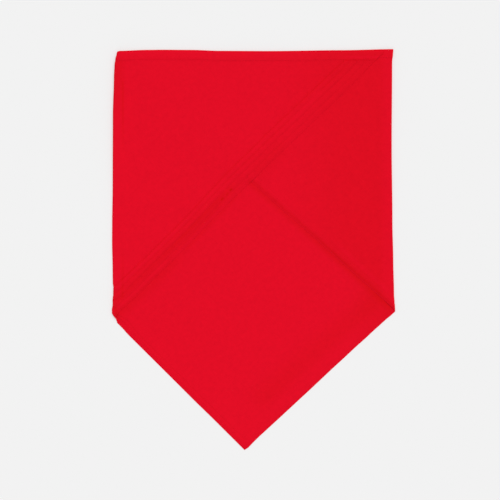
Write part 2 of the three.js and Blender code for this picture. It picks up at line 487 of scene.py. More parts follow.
    def left_flap_height(self, x: Array, w: Array) -> Array:
        """Height of the middle of the left flap, on the right flap and on the base below its edge.

        Args:
            x: Distance from the left fold.
            w: Distance below the long edge.

        Returns:
            The height above the ground.
        """
        cut, trim = self.cut, self.trim
        right_edge = cut.right_slope * (cut.long_edge - self.right_bend_flap - self.right_axis + x)
        past_edge = (w - right_edge - self.right_slip) / cut.right_steep
        below = past_edge + trim.roll_nose * self.roll_held
        u = self.left_bend_flap + self.left_radius - x
        inside = self.cut.inside_left(u, w - self.left_slip)
        sag = self.edge_sag + (self.sag - self.edge_sag) * smooth(inside, self.sag)
        hem_under = self.under * fall(w - trim.hem, sag)
        waves = self.right_waves.at(x, w)
        over_edge = trim.roll_thick * fall(-past_edge - trim.roll, self.roll_ease)
        over_edge = over_edge + self.settled_edge(np.maximum(-past_edge, 0.0))
        held = self.layer + hem_under + self.right_puff(x, w) + over_edge + waves
        laid = self.base_height(x, w, sag) + held * fall(below, sag) + self.layer
        fade = self.left_fade * self.edge_reach
        loose = self.left_waves.at(x, w) * smooth(inside, fade) + self.settled_edge(inside)
        relax = self.relax * (self.quick_share + (1 - self.quick_share) * smooth(inside, self.quick_over))
        near_fold = fall(x - self.left_radius, relax)
        hem_ease = self.sag + (self.ease - self.sag) * near_fold
        rolled = self.base_height(x, w, hem_ease) + self.left_fold.tall(w)
        height = laid + loose
        return height + (rolled - height) * near_fold

    def placed(self, x: Array, w: Array, z: Array) -> Array:
        """Lets the folded outline leave its straight lines.

        Args:
            x: Distance from the left fold.
            w: Distance below the long edge.
            z: Height.

        Returns:
            Points, the last axis of which is x, y and z.
        """
        cut = self.cut
        left_length = cut.depth_at(np.float64(self.left_flap))
        right_length = cut.depth_at(np.float64((self.right_bend_base + self.right_bend_flap) / 2))
        left = table_at(self.left_line, w / left_length) * fall(x, self.drift_spread)
        right = table_at(self.right_line, w / right_length) * fall(self.folded_width - x, self.drift_spread)
        up = table_at(self.long_line, x / self.folded_width) * fall(w, self.drift_spread)
        return np.stack([x + self.drift * (right - left), self.drift * up - w, z], axis=-1)

    def bent(self, bend: Bend, turn: Array, w: Array, n: Array) -> Array:
        """Points in a bend.

        Args:
            bend: The fold.
            turn: Angle gone from the base, up to half a turn at the flap.
            w: Distance below the long edge.
            n: Height above the cloth's right side, from the middle of the cloth.

        Returns:
            The points.
        """
        reach = bend.radius - n
        down = w + bend.slip * turn / math.pi
        ground = self.base_height(np.full_like(down, bend.axis), down, self.ease)
        height = ground + bend.tall(down) / 2 * (1 - np.cos(turn)) + n * np.cos(turn)
        return self.placed(bend.axis + bend.side * reach * np.sin(turn), down, height)

    def edge_pull(self, u: Array, w: Array) -> Array:
        """How far down the cloth is drawn towards a short edge that leaves its straight line.

        Args:
            u: Distance along the long edge.
            w: Distance below the long edge.

        Returns:
            The distance.
        """
        cut = self.cut
        left = u <= cut.corner_at
        inside = np.where(left, cut.inside_left(u, w), cut.inside_right(u, w))
        out = np.where(left, table_at(self.left_edge_line, u), table_at(self.right_edge_line, u))
        near = fall(inside - self.edge_stiff, self.edge_spread)
        return out * cut.steep_at(u) * near * smooth(w - self.trim.hem, self.edge_from_hem)

    def past_seams(self, u: Array, w: Array) -> tuple[Array, Array, Array]:
        """Distances inwards from the rows of stitches along the long, the left and the right edge."""
        left, right = self.cut.inside_left(u, w), self.cut.inside_right(u, w)
        return w - self.trim.hem_seam, left - self.trim.left_seam, right - self.trim.right_seam

    def turned_over(self, u: Array) -> Array:
        """How far the cloth is turned over.

        Args:
            u: Distance along the long edge.

        Returns:
            1 on the flaps, which show the wrong side, 0 on the base, and between in the bends.
        """
        left = np.clip((self.left_bend_base - u) / (self.left_bend_base - self.left_bend_flap), 0, 1)
        right = np.clip((u - self.right_bend_base) / (self.right_bend_flap - self.right_bend_base), 0, 1)
        return np.maximum(left, right)

    def zone(self, u: Array) -> Array:
        """Which part of the folded cloth a place is in, as the numbers of Zone."""
        stops = (self.left_bend_flap, self.left_bend_base, self.right_bend_base, self.right_bend_flap)
        return np.digitize(u, stops)

    def place(self, u: Array, w: Array, n: Array) -> Array:
        """Folds points of the opened cloth.

        Args:
            u: Distance along the long edge from the left tip.
            w: Distance below the long edge.
            n: Height above the middle of the cloth, towards its right side.

        Returns:
            The folded points, x from the left fold, y up the picture, z above the ground.
        """
        u, w, n = np.broadcast_arrays(*(np.asarray(part, dtype=float) for part in (u, w, n)))
        w = w + self.edge_pull(u, w)
        points = np.zeros((*u.shape, 3))
        zone = self.zone(u)
        on = zone == Zone.LEFT_FLAP
        x = self.left_radius + self.left_bend_flap - u[on] + table_at(self.tip_line, u[on])
        down = w[on] + self.left_slip
        points[on] = self.placed(x, down, self.left_flap_height(x, down) - n[on])
        on = zone == Zone.LEFT_BEND
        turn = (self.left_bend_base - u[on]) / self.left_radius
        points[on] = self.bent(self.left_fold, turn, w[on], n[on])
        on = zone == Zone.BASE
        x = self.left_radius + u[on] - self.left_bend_base
        points[on] = self.placed(x, w[on], self.base_height(x, w[on], self.ease) + n[on])
        on = zone == Zone.RIGHT_BEND
        turn = (u[on] - self.right_bend_base) / self.right_radius
        points[on] = self.bent(self.right_fold, turn, w[on], n[on])
        on = zone == Zone.RIGHT_FLAP
        x, down = self.right_axis - (u[on] - self.right_bend_flap), w[on] + self.right_slip
        points[on] = self.placed(x, down, self.right_flap_height(x, down) - n[on])
        return points

    def columns(self) -> Array:
        """Places along the long edge where the meshes have a column, closest at the bends."""
        return run(
            (self.left_end, 2),
            (self.tip_length, 76),
            (self.left_bend_flap - self.relax, 10),
            (self.left_bend_flap, 14),
            (self.left_bend_base, 8),
            (self.left_bend_base + self.relax, 34),
            (self.cut.corner_at, 40),
            (self.right_bend_base, 14),
            (self.right_bend_flap, 10),
            (self.right_bend_flap + self.relax, 76),
            (self.right_end, 1),
        )


@dataclass(frozen=True)
class Section:
    """Rings of points across a strip of cloth, one for each column, before it is folded.

    Each ring runs along the right side of the strip and back along its wrong side, so that the first
    point faces the last one across the wall.
    """

    u: Array
    w: Array
    n: Array


class Seam(Enum):
    """A row of stitches, by the edge of the cloth that it follows."""

    LONG_EDGE = "long_edge"
    LEFT_EDGE = "left_edge"
    RIGHT_EDGE = "right_edge"


@dataclass(frozen=True)
class Settled:
    """The folded form in the frame that it shares with the CAD."""

    form: FoldedForm
    shift: Array

    def points(self, section: Section) -> Array:
        """Folded points of a section, in metres in the shared frame."""
        return (self.form.place(section.u, section.w, section.n) + self.shift) * MM


@dataclass(frozen=True)
class SoftMark:
    """A soft streak of painted shade, along a line on the table, in millimetres from its middle."""

    start: tuple[float, float]
    end: tuple[float, float]
    left: float  # how far it spreads to the left of the line, looking along it
    right: float
    depth: float  # how much painted shade it adds, or painted light where it is below 0
    fade_in: float
    fade_out: float

    def depth_at(self, tree: Tree, place: Socket) -> Node:
        """Adds the nodes that give the mark's depth at a place.

        Args:
            tree: The material's tree.
            place: The place on the piece.

        Returns:
            The node that gives the depth.
        """
        start, end = (Vector((*point, 0.0)) * MM for point in (self.start, self.end))
        way = (end - start).normalized()
        aside = Vector((-way.y, way.x, 0.0))
        length = (end - start).length / MM
        past = add_node(tree, "ShaderNodeVectorMath", {0: place, 1: start}, operation="SUBTRACT")
        along, across = (
            add_node(tree, "ShaderNodeVectorMath", {0: past, 1: axis}, operation="DOT_PRODUCT")
            for axis in (way, aside)
        )
        ramps = (
            (across, 0.0, self.left, self.depth, 0.0),
            (across, -self.right, 0.0, 0.0, 1.0),
            (along, 0.0, self.fade_in, 0.0, 1.0),
            (along, length - self.fade_out, length, 1.0, 0.0),
        )
        product = None
        for value, low, high, first, last in ramps:
            ramp = {"Value": value, 1: low * MM, 2: high * MM, 3: first, 4: last}
            share = add_node(tree, "ShaderNodeMapRange", ramp, interpolation_type="SMOOTHSTEP")
            if product is not None:
                share = add_node(tree, "ShaderNodeMath", {0: product, 1: share}, operation="MULTIPLY")
            product = share
        return product


@dataclass(frozen=True)
class WovenCotton:
    """Plain-woven cotton, dyed: matt, with a fine square weave, uneven threads and hardly any gloss.

    Real threads of this cloth lie about 0.4 mm apart, which is too fine to show, so they are drawn at
    twice that. Its colour also carries painted shade and painted light, from its soft streaks and from the
    mesh.
    """

    name: str = "woven_cotton_red"
    colour: str = "#E40D25"
    # Colour that the painted shade and painted shadows tend to
    painted_shade_colour: str = "#D00D0C"
    thread: float = 0.8
    weave_depth: float = 0.045
    slub_depth: float = 0.08
    pucker_depth: float = 0.12
    slub_stretch: tuple[float, float] = (0.02, 0.6)  # streaks a thread, along the threads and across
    pucker_stretch: tuple[float, ...] = (0.22, 0.06, 0.0)  # ripples a millimetre, along a seam and across
    grain: float = 5.0  # size of the small uneven patches in the dye
    uneven: float = 0.07
    slub_share: float = 0.5  # how much the threads colour it, beside the patches
    swing: tuple[float, float] = (0.1, 0.9)  # lowest and highest value of the patches
    # Painted shade in the weave's hollows and painted light on its raised threads
    weave_shades: tuple[float, float] = (0.97, 1.01)  # brightness where the weave is lowest and highest
    # Soft streaks of painted shade and painted light
    marks: tuple[SoftMark, ...] = ()
    roughness: float = 0.9
    gloss: float = 0.02
    sheen: float = 0.12  # fine fibres that stand up from the threads
    sheen_roughness: float = 0.3
    sheen_tint: str = "#FFB0A8"

    def material(self) -> Material:
        """Builds the finish.

        Returns:
            The material.
        """
        material = empty_material(self.name)
        tree = material.node_tree
        uv = add_node(tree, "ShaderNodeUVMap", uv_map=CLOTH_UV)
        count = 1 / (self.thread * MM)
        threads = add_node(tree, "ShaderNodeVectorMath", {0: uv, 3: count}, operation="SCALE")
        weave, slub, pucker = self.weave(tree, threads), self.slub(tree, threads), self.pucker(tree)
        normal = {}
        for height, deep in ((pucker, self.pucker_depth), (slub, self.slub_depth), (weave, self.weave_depth)):
            bump = {"Height": height, "Distance": deep * MM, "Strength": 1.0, **normal}
            normal = {"Normal": add_node(tree, "ShaderNodeBump", bump)}
        surface = {
            "Base Color": self.colouring(tree, slub, weave),
            "Roughness": self.roughness,
            "Specular IOR Level": self.gloss,
            "Sheen Weight": self.sheen,
            "Sheen Roughness": self.sheen_roughness,
            "Sheen Tint": linear_colour(self.sheen_tint),
        }
        shader = add_node(tree, "ShaderNodeBsdfPrincipled", surface | normal)
        add_node(tree, "ShaderNodeOutputMaterial", {"Surface": shader})
        return material

    def weave(self, tree: Tree, threads: Node) -> Node:
        """Height of a plain weave: warp and weft rise in turn, like the squares of a chessboard.

        Args:
            tree: The material's tree.
            threads: The place on the opened cloth, counted in threads.

        Returns:
            The height, from 0 to 1.
        """
        parts = add_node(tree, "ShaderNodeSeparateXYZ", {0: threads}).outputs
        arches = []
        for axis in ("X", "Y"):
            turn = add_node(tree, "ShaderNodeMath", {0: parts[axis], 1: math.pi}, operation="MULTIPLY")
            wave = add_node(tree, "ShaderNodeMath", {0: turn}, operation="SINE")
            arches.append(add_node(tree, "ShaderNodeMath", {0: wave}, operation="ABSOLUTE"))
        over = add_node(tree, "ShaderNodeTexChecker", {"Vector": threads, "Scale": 1.0}).outputs["Fac"]
        mix = {"Factor": over, 2: arches[0], 3: arches[1]}
        return add_node(tree, "ShaderNodeMix", mix, data_type="FLOAT")

    def slub(self, tree: Tree, threads: Node) -> Node:
        """Uneven threads: streaks a thread or two wide and many long, along warp and weft.

        Args:
            tree: The material's tree.
            threads: The place on the opened cloth, counted in threads.

        Returns:
            The unevenness, from 0 to 1.
        """
        streaks = []
        for stretch in (self.slub_stretch, self.slub_stretch[::-1]):
            drawn = add_node(tree, "ShaderNodeMapping", {"Vector": threads, "Scale": (*stretch, 1.0)})
            noise = {"Vector": drawn, "Scale": 1.0, "Detail": 2.0, "Roughness": 0.55}
            streaks.append(add_node(tree, "ShaderNodeTexNoise", noise, noise_dimensions="2D"))
        mix = {"Factor": 0.5, 2: streaks[0], 3: streaks[1]}
        return add_node(tree, "ShaderNodeMix", mix, data_type="FLOAT")

    def pucker(self, tree: Tree) -> Node:
        """Short ripples that a row of stitches draws in the cloth beside it.

        Args:
            tree: The material's tree.

        Returns:
            The height of the ripples, from 0 to 1.
        """
        seam = add_node(tree, "ShaderNodeAttribute", attribute_name=SEAM_ATTRIBUTE).outputs["Vector"]
        share = add_node(tree, "ShaderNodeSeparateXYZ", {0: seam}).outputs["Z"]
        drawn = add_node(tree, "ShaderNodeMapping", {"Vector": seam, "Scale": self.pucker_stretch})
        noise = {"Vector": drawn, "Scale": 1.0, "Detail": 1.0}
        ripples = add_node(tree, "ShaderNodeTexNoise", noise, noise_dimensions="2D")
        return add_node(tree, "ShaderNodeMath", {0: ripples, 1: share}, operation="MULTIPLY")

    def colouring(self, tree: Tree, slub: Node, weave: Node) -> Node:
        """Colour of the cloth: a little uneven from thread to thread and across the piece, with painted
        shade in the weave's hollows and the painted shade and painted light of the marks.

        Args:
            tree: The material's tree.
            slub: Unevenness of the threads.
            weave: Height of the weave.

        Returns:
            The colour.
        """
        place = add_node(tree, "ShaderNodeTexCoord").outputs["Object"]
        noise = {"Vector": place, "Scale": 1 / (self.grain * MM), "Detail": 3.0, "Roughness": 0.7}
        patches = add_node(tree, "ShaderNodeTexNoise", noise)
        parts = {0: slub, 1: self.slub_share, 2: patches}
        both = add_node(tree, "ShaderNodeMath", parts, operation="MULTIPLY_ADD")
        low, high = (end + 0.5 * self.slub_share for end in self.swing)
        worn = {"Value": both, 1: low, 2: high, 3: 1 - self.uneven, 4: 1 + self.uneven}
        # Painted shade where the weave is low, painted light where it is high
        sunk = {"Value": weave, 1: 0.0, 2: 1.0, 3: self.weave_shades[0], 4: self.weave_shades[1]}
        shades = [add_node(tree, "ShaderNodeMapRange", ramp) for ramp in (worn, sunk)]
        shade = add_node(tree, "ShaderNodeMath", {0: shades[0], 1: shades[1]}, operation="MULTIPLY")
        # Painted shade: the plain colour is mixed towards the painted shade colour
        plain, deep = linear_colour(self.colour), linear_colour(self.painted_shade_colour)
        mix = {"Factor": self.depth(tree, place), 6: plain, 7: deep}
        dye = add_node(tree, "ShaderNodeMix", mix, data_type="RGBA")
        return add_node(tree, "ShaderNodeVectorMath", {0: dye, 3: shade}, operation="SCALE")

    def depth(self, tree: Tree, place: Socket) -> Node | Socket:
        """How much painted shade there is: the soft streaks of painted shade and light on the faces that
        show, and the painted shade that the mesh marks itself.

        Args:
            tree: The material's tree.
            place: The place on the piece.

        Returns:
            The depth, from 0 for the plain colour to 1 for the painted shade colour.
        """
        shade_marks = add_node(tree, "ShaderNodeAttribute", attribute_name=SHADE_MARKS_ATTRIBUTE).outputs["Vector"]
        parts = add_node(tree, "ShaderNodeSeparateXYZ", {0: shade_marks}).outputs
        total = parts["Y"]
        for mark in self.marks:
            marked = {0: mark.depth_at(tree, place), 1: parts["X"], 2: total}
            total = add_node(tree, "ShaderNodeMath", marked, operation="MULTIPLY_ADD")
        return total


@dataclass(frozen=True)
class SewingThread:
    """Spun polyester sewing thread, dyed to match: twisted from fine yarns, a little glossier than cotton."""

    name: str = "sewing_thread_red"
    colour: str = "#D90F24"
    roughness: float = 0.7
    gloss: float = 0.05
    twist: float = 0.5
    yarn_depth: float = 0.04
    shades: tuple[float, float] = (0.9, 1.08)  # darkest and lightest yarn

    def material(self) -> Material:
        """Builds the finish.

        Returns:
            The material.
        """
        material = empty_material(self.name)
        tree = material.node_tree
        place = add_node(tree, "ShaderNodeTexCoord").outputs["Object"]
        noise = {"Vector": place, "Scale": 1 / (self.twist * MM), "Detail": 1.0}
        yarns = add_node(tree, "ShaderNodeTexNoise", noise)
        bump = {"Height": yarns, "Distance": self.yarn_depth * MM, "Strength": 1.0}
        red = Vector(linear_colour(self.colour)[:3])
        dark, light = ((*(red * shade), 1.0) for shade in self.shades)
        mix = {"Factor": yarns, 6: dark, 7: light}
        surface = {
            "Base Color": add_node(tree, "ShaderNodeMix", mix, data_type="RGBA"),
            "Roughness": self.roughness,
            "Specular IOR Level": self.gloss,
            "Normal": add_node(tree, "ShaderNodeBump", bump),
        }
        shader = add_node(tree, "ShaderNodeBsdfPrincipled", surface)
        add_node(tree, "ShaderNodeOutputMaterial", {"Surface": shader})
        return material


def seam_marks(form: FoldedForm, u: Array, w: Array) -> Array:
    """Marks each point with its place beside the nearest row of stitches.

    Args:
        form: The folded form.
        u: Distance along the long edge.
        w: Distance below the long edge.

    Returns:
        For each point, the distance along the seam, the distance from it, and how much it puckers.
    """
    cut = form.cut
    offs = np.stack(form.past_seams(u, w))
    along_left = (u + cut.left_slope * w) / cut.left_steep
    along_right = (u - cut.right_slope * w) / cut.right_steep
    lengths = np.stack([u, SEAM_APART + along_left, 2 * SEAM_APART + along_right])
    nearest = np.abs(offs).argmin(axis=0)[None]
    length, off = (np.take_along_axis(part, nearest, axis=0)[0] for part in (lengths, offs))
    return np.stack([length, off, fall(np.abs(off), PUCKER_REACH)], axis=-1)


@dataclass(frozen=True)
class PaintedShade:
    """Painted shade that changes slowly over the piece, deepest towards the right fold and in seams."""

    # Painted shade: darker towards the right fold on the flaps and towards the right corner on the base
    right_depth: float = 0.23
    right_from: float = 10.0
    right_over: float = 115.0
    shade_lift_from: float = 149.0  # where the painted shade lifts again, beside the fold
    shade_lift_over: float = 11.0
    shade_lift_share: float = 0.7
    corner_from: float = 105.0  # on the base, towards its right corner
    corner_over: float = 60.0
    # Painted shade along the furrows of the rows of stitches
    seam_depth: float = 0.1
    seam_width: float = 1.2
    # Painted shade in the band's valleys
    valley_depths: tuple[float, ...] = (0.03, 0.0, 0.17, 0.17)  # from the free edge to the band's inner side
    valley_width: float = 1.9
    inner_line: float = 0.3  # how far outside the band's inner side the last of them lies
    band_from: float = 5.0  # where they set in, along the long edge
    band_over: float = 75.0

    def at(self, settled: Settled, section: Section) -> Array:
        """Marks each point with its painted shade.

        Args:
            settled: The folded form in the shared frame.
            section: The points.

        Returns:
            For each point, 1 where its face shows and 0 where it doesn't, its own painted shade, and 0.
        """
        form, u, w = settled.form, section.u, section.w
        zone, over = form.zone(u), form.turned_over(u)
        on_base = zone == Zone.BASE
        shown = np.where(on_base, section.n > 0, section.n < 0).astype(float)
        x = settled.points(section)[..., 0] / MM
        # Painted shade towards the right, lifted again beside the right fold, and towards the base's right
        # corner
        shade_lift = self.shade_lift_share * smooth(x - self.shade_lift_from, self.shade_lift_over)
        towards_right = smooth(x - self.right_from, self.right_over) * (1 - shade_lift)
        near_corner = smooth(x - self.corner_from, self.corner_over)
        depth = self.right_depth * np.where(on_base, near_corner, towards_right)
        # Painted shade along the rows of stitches and in the band's valleys
        seams = self.seam_depth * sum(fall(np.abs(off), self.seam_width) for off in form.past_seams(u, w)[:2])
        band = RibbedBand(form)
        across = form.cut.inside_left(u, w) / band.breathing(u)
        lines = zip(self.valley_depths, [*(at for at, _ in band.valleys()), form.trim.band - self.inner_line])
        valleys = sum(deep * fall(np.abs(across - at), self.valley_width) for deep, at in lines)
        in_band = valleys * over * (zone < Zone.BASE) * smooth(u - self.band_from, self.band_over)
        own = seams * (1 - over) + in_band
        return np.stack([shown, depth * shown + own, np.zeros_like(depth)], axis=-1).reshape(-1, 3)


def swept_object(name: str, settled: Settled, section: Section, finish: Material) -> Piece:
    """Joins the rings of a section to one closed, smooth mesh.

    Args:
        name: Name of the piece.
        settled: The folded form in the shared frame.
        section: The rings, an even number of points each.
        finish: The material.

    Returns:
        The piece, with its cloth map, its seam marks and its painted shade marks.
    """
    columns, ring = section.u.shape
    at = np.arange(columns * ring).reshape(columns, ring)
    ahead = np.roll(at, -1, axis=1)
    sides = np.stack([at[:-1], ahead[:-1], ahead[1:], at[1:]], axis=-1).reshape(-1, 4)
    half = ring // 2
    caps = []
    for column, flip in ((at[0], False), (at[-1], True)):
        back = column[::-1]
        cap = np.stack([column[: half - 1], back[: half - 1], back[1:half], column[1:half]], axis=-1)
        caps.append(cap[:, ::-1] if flip else cap)
    faces = np.concatenate([sides, *caps])
    points = settled.points(section).reshape(-1, 3)
    quads = points[faces]
    volume = sum(
        np.einsum("ij,ij->i", quads[:, 0], np.cross(quads[:, a], quads[:, b])).sum()
        for a, b in ((1, 2), (2, 3))
    )
    if volume < 0:
        faces = faces[:, ::-1]
    mesh = bpy.data.meshes.new(name)
    mesh.from_pydata(points.tolist(), [], faces.tolist())
    u, w = section.u.ravel(), section.w.ravel()
    turned = np.stack([u + w, w - u], axis=-1) * MM / math.sqrt(2)
    mesh.uv_layers.new(name=CLOTH_UV).data.foreach_set("uv", turned[faces.ravel()].ravel())
    seams, painted_shade_values = seam_marks(settled.form, u, w), PaintedShade().at(settled, section)
    for attribute, values in ((SEAM_ATTRIBUTE, seams), (SHADE_MARKS_ATTRIBUTE, painted_shade_values)):
        mesh.attributes.new(attribute, "FLOAT_VECTOR", "POINT").data.foreach_set("vector", values.ravel())
    mesh.materials.append(finish)
    mesh.shade_smooth()
    mesh.set_sharp_from_angle(angle=SHARP_ANGLE)
    mesh.validate()
    piece = bpy.data.objects.new(name, mesh)
    bpy.context.scene.collection.objects.link(piece)
    return piece


def leaning_edge(high: Array, low: Array, steps: Array, over: Array) -> Array:
    """Thins an edge so that it slopes down on the face that shows and meets what lies under it.

    Args:
        high: Height of the right side beside the edge.
        low: Height of the wrong side there.
        steps: Places round the edge, as shares of its nose: positive on the right side.
        over: 1 where the cloth is turned over, so that its wrong side shows, and 0 where it isn't.

    Returns:
        Height at each place.
    """
    tip = (high + low) / 2 + (high - low) * EDGE_LEAN * (2 * over - 1)
    return tip + np.where(steps > 0, high - tip, low - tip) * np.sin(math.pi / 2 * np.abs(steps))


@dataclass(frozen=True)
class ClothSheet:
    """The cloth itself: one sheet, folded twice, with a narrow roll along the right short edge."""

    form: FoldedForm
    inner_rows: int = 40
    groove: float = 0.13  # depth of the furrow that a row of stitches draws
    groove_width: float = 1.3
    groove_shares: tuple[float, ...] = (1.0, 1.0, 0.4)  # of that depth, at the long, left and right edge
    roll_round: float = 1.2  # distance in which the roll ends on its inner side
    inner_room: float = 60.0  # least depth of the inner rows; all rows are squeezed where there is less
    turn_from: float = 3.0  # where the band's turn round the left edge sets in, below the hem
    turn_over: float = 2.0
    turn_to: float = 3.8  # and where it ends, before the corner
    turn_off: float = 3.6
    # Rows of points along the cloth: distances from the long edge, and from the short ones
    long_rows: tuple[float, ...] = (3.4, 5, 7, 8.2, 8.8, 9.3, 9.6, 9.9, 10.4, 11, 11.8, 13, 15.5, 19.5, 24)
    short_rows: tuple[float, ...] = (
        *(60, 52, 45, 39, 34, 30, 27.5, 26, 24, 21.5, 19, 16.5, 14, 12, 10.5, 9.9, 9.5, 9.2, 8.9, 8.5, 7.9),
        *(7.2, 6.8, 6.4, 6.0, 5.6),
    )

    def furrows(self, u: Array, w: Array) -> Array:
        """Depth of the furrows under the rows of stitches on the right side."""
        offs = zip(self.groove_shares, self.form.past_seams(u, w))
        return self.groove * sum(share * fall(np.abs(off), self.groove_width) for share, off in offs)

    def roll(self, u: Array, w: Array) -> Array:
        """What the narrow roll adds on the wrong side."""
        past = self.form.cut.inside_right(u, w) - self.form.trim.roll
        return self.form.trim.roll_thick * fall(past + self.roll_round, self.roll_round)

    def section(self) -> Section:
        """Lays out the rings of the cloth.

        Returns:
            The section.
        """
        form, cut, trim = self.form, self.form.cut, self.form.trim
        u = form.columns()[:, None]
        depth, steep = cut.depth_at(u), cut.steep_at(u)
        long_rows, short_rows = np.array([trim.nose, *self.long_rows]), np.array(self.short_rows)
        squeeze = np.minimum(1.0, depth / (long_rows[-1] + self.inner_room + short_rows[0] * steep))
        inner_from, inner_to = long_rows[-1] * squeeze, depth - short_rows[0] * steep * squeeze
        shares = np.linspace(0, 1, self.inner_rows + 2)[1:-1]
        inner = inner_from + (inner_to - inner_from) * shares
        rows = np.concatenate([long_rows * squeeze, inner, depth - short_rows * steep * squeeze], axis=1)
        whole = np.broadcast_to(u, rows.shape)
        high = cut.wall / 2 - self.furrows(whole, rows)
        low = -cut.wall / 2 - self.roll(whole, rows)
        # The cloth's own edge: round along the right, and inside the band's turn along the left
        to_corner = fall(u - cut.corner_at + self.turn_to, self.turn_off)
        in_band = smooth(u - trim.hem - self.turn_from, self.turn_over) * to_corner
        inset = (trim.band_nose + CLEAR) * in_band
        radius = trim.roll_nose + (CLEAR - trim.roll_nose) * in_band
        edge = depth - (inset + radius * np.abs(EDGE_STEPS)) * steep * squeeze
        edge_n = leaning_edge(high[:, -1:], low[:, -1:], EDGE_STEPS, form.turned_over(u))
        rows = np.minimum(rows, depth - (inset + radius) * steep * squeeze)
        return Section(
            np.broadcast_to(u, (len(u), 2 * rows.shape[1] + len(EDGE_STEPS))),
            np.concatenate([rows, edge, rows[:, ::-1]], axis=1),
            np.concatenate([high, edge_n, low[:, ::-1]], axis=1),
        )

    def build(self, settled: Settled, finish: Material) -> Piece:
        """Makes the cloth, in place of the CAD's.

        Args:
            settled: The folded form in the shared frame.
            finish: The material.

        Returns:
            The piece.
        """
        cloth = swept_object("cloth", settled, self.section(), finish)
        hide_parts("folded_cloth")
        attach(cloth, "root")
        return cloth


@dataclass(frozen=True)
class LongHem:
    """The hem: the cloth turned round its long edge and stitched down on the wrong side."""

    form: FoldedForm
    groove: float = 0.06
    groove_width: float = 0.9
    bulge: float = 0.06  # how far it stands out between the edge and its row of stitches
    round_from: float = 4.8  # where it starts to thin towards its inner side
    round_over: float = 6.9
    round_share: float = 0.9
    end_room: float = 0.6  # what is left free inside it at the cloth's tips
    turns: tuple[float, ...] = (90, 74, 56, 38, 18, 0, -18, -38, -56, -74)  # steps round the edge
    rows: tuple[float, ...] = (2.6, 3.6, 4.6, 5.6, 6.6, 7.5, 8.4, 9.1, 9.6, 10.1, 10.5, 10.8, 11.05, 11.2)

    def section(self) -> Section:
        """Lays out the rings of the hem.

        Returns:
            The section.
        """
        cut, trim = self.form.cut, self.form.trim
        face = -cut.wall / 2 - trim.gap
        outer_face = trim.hem_thick - face
        turns, flat = np.radians(self.turns), np.array(self.rows)
        middle, half = (cut.wall / 2 - outer_face) / 2, (cut.wall / 2 + outer_face) / 2
        rounded = smooth(flat - self.round_from, self.round_over) * self.round_share * trim.hem_thick
        furrow = self.groove * fall(np.abs(flat - trim.hem_seam), self.groove_width)
        bulge = self.bulge * np.sin(math.pi * np.clip(flat / trim.hem_seam, 0, 1))
        outer = np.concatenate([middle + half * np.sin(turns), -outer_face + rounded + furrow - bulge])
        nose_inner = np.linspace(cut.wall / 2 - CLEAR, face, len(turns))
        inner = np.concatenate([nose_inner, np.full(len(flat), face)])
        out_w = np.concatenate([trim.nose * (1 - np.cos(turns)), flat])
        in_w = np.concatenate([np.full(len(turns), trim.nose), flat])
        u = self.form.columns()[:, None]
        squeeze = np.minimum(1.0, cut.depth_at(u) / (trim.hem + self.end_room))
        w = np.concatenate([out_w, in_w[::-1]])[None, :] * squeeze
        n = np.broadcast_to(np.concatenate([outer, inner[::-1]]), w.shape)
        return Section(np.broadcast_to(u, w.shape), w, n)

    def build(self, settled: Settled, finish: Material) -> Piece:
        """Makes the hem, in place of the CAD's.

        Args:
            settled: The folded form in the shared frame.
            finish: The material.

        Returns:
            The piece.
        """
        hem = swept_object("hem", settled, self.section(), finish)
        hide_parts("long_edge_hem")
        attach(hem, "root")
        return hem


@dataclass(frozen=True)
class Ridge:
    """One ridge of the band: its width as a share of the band's, its crest, and the valley inside it."""

    width: float
    crest: float
    valley: float


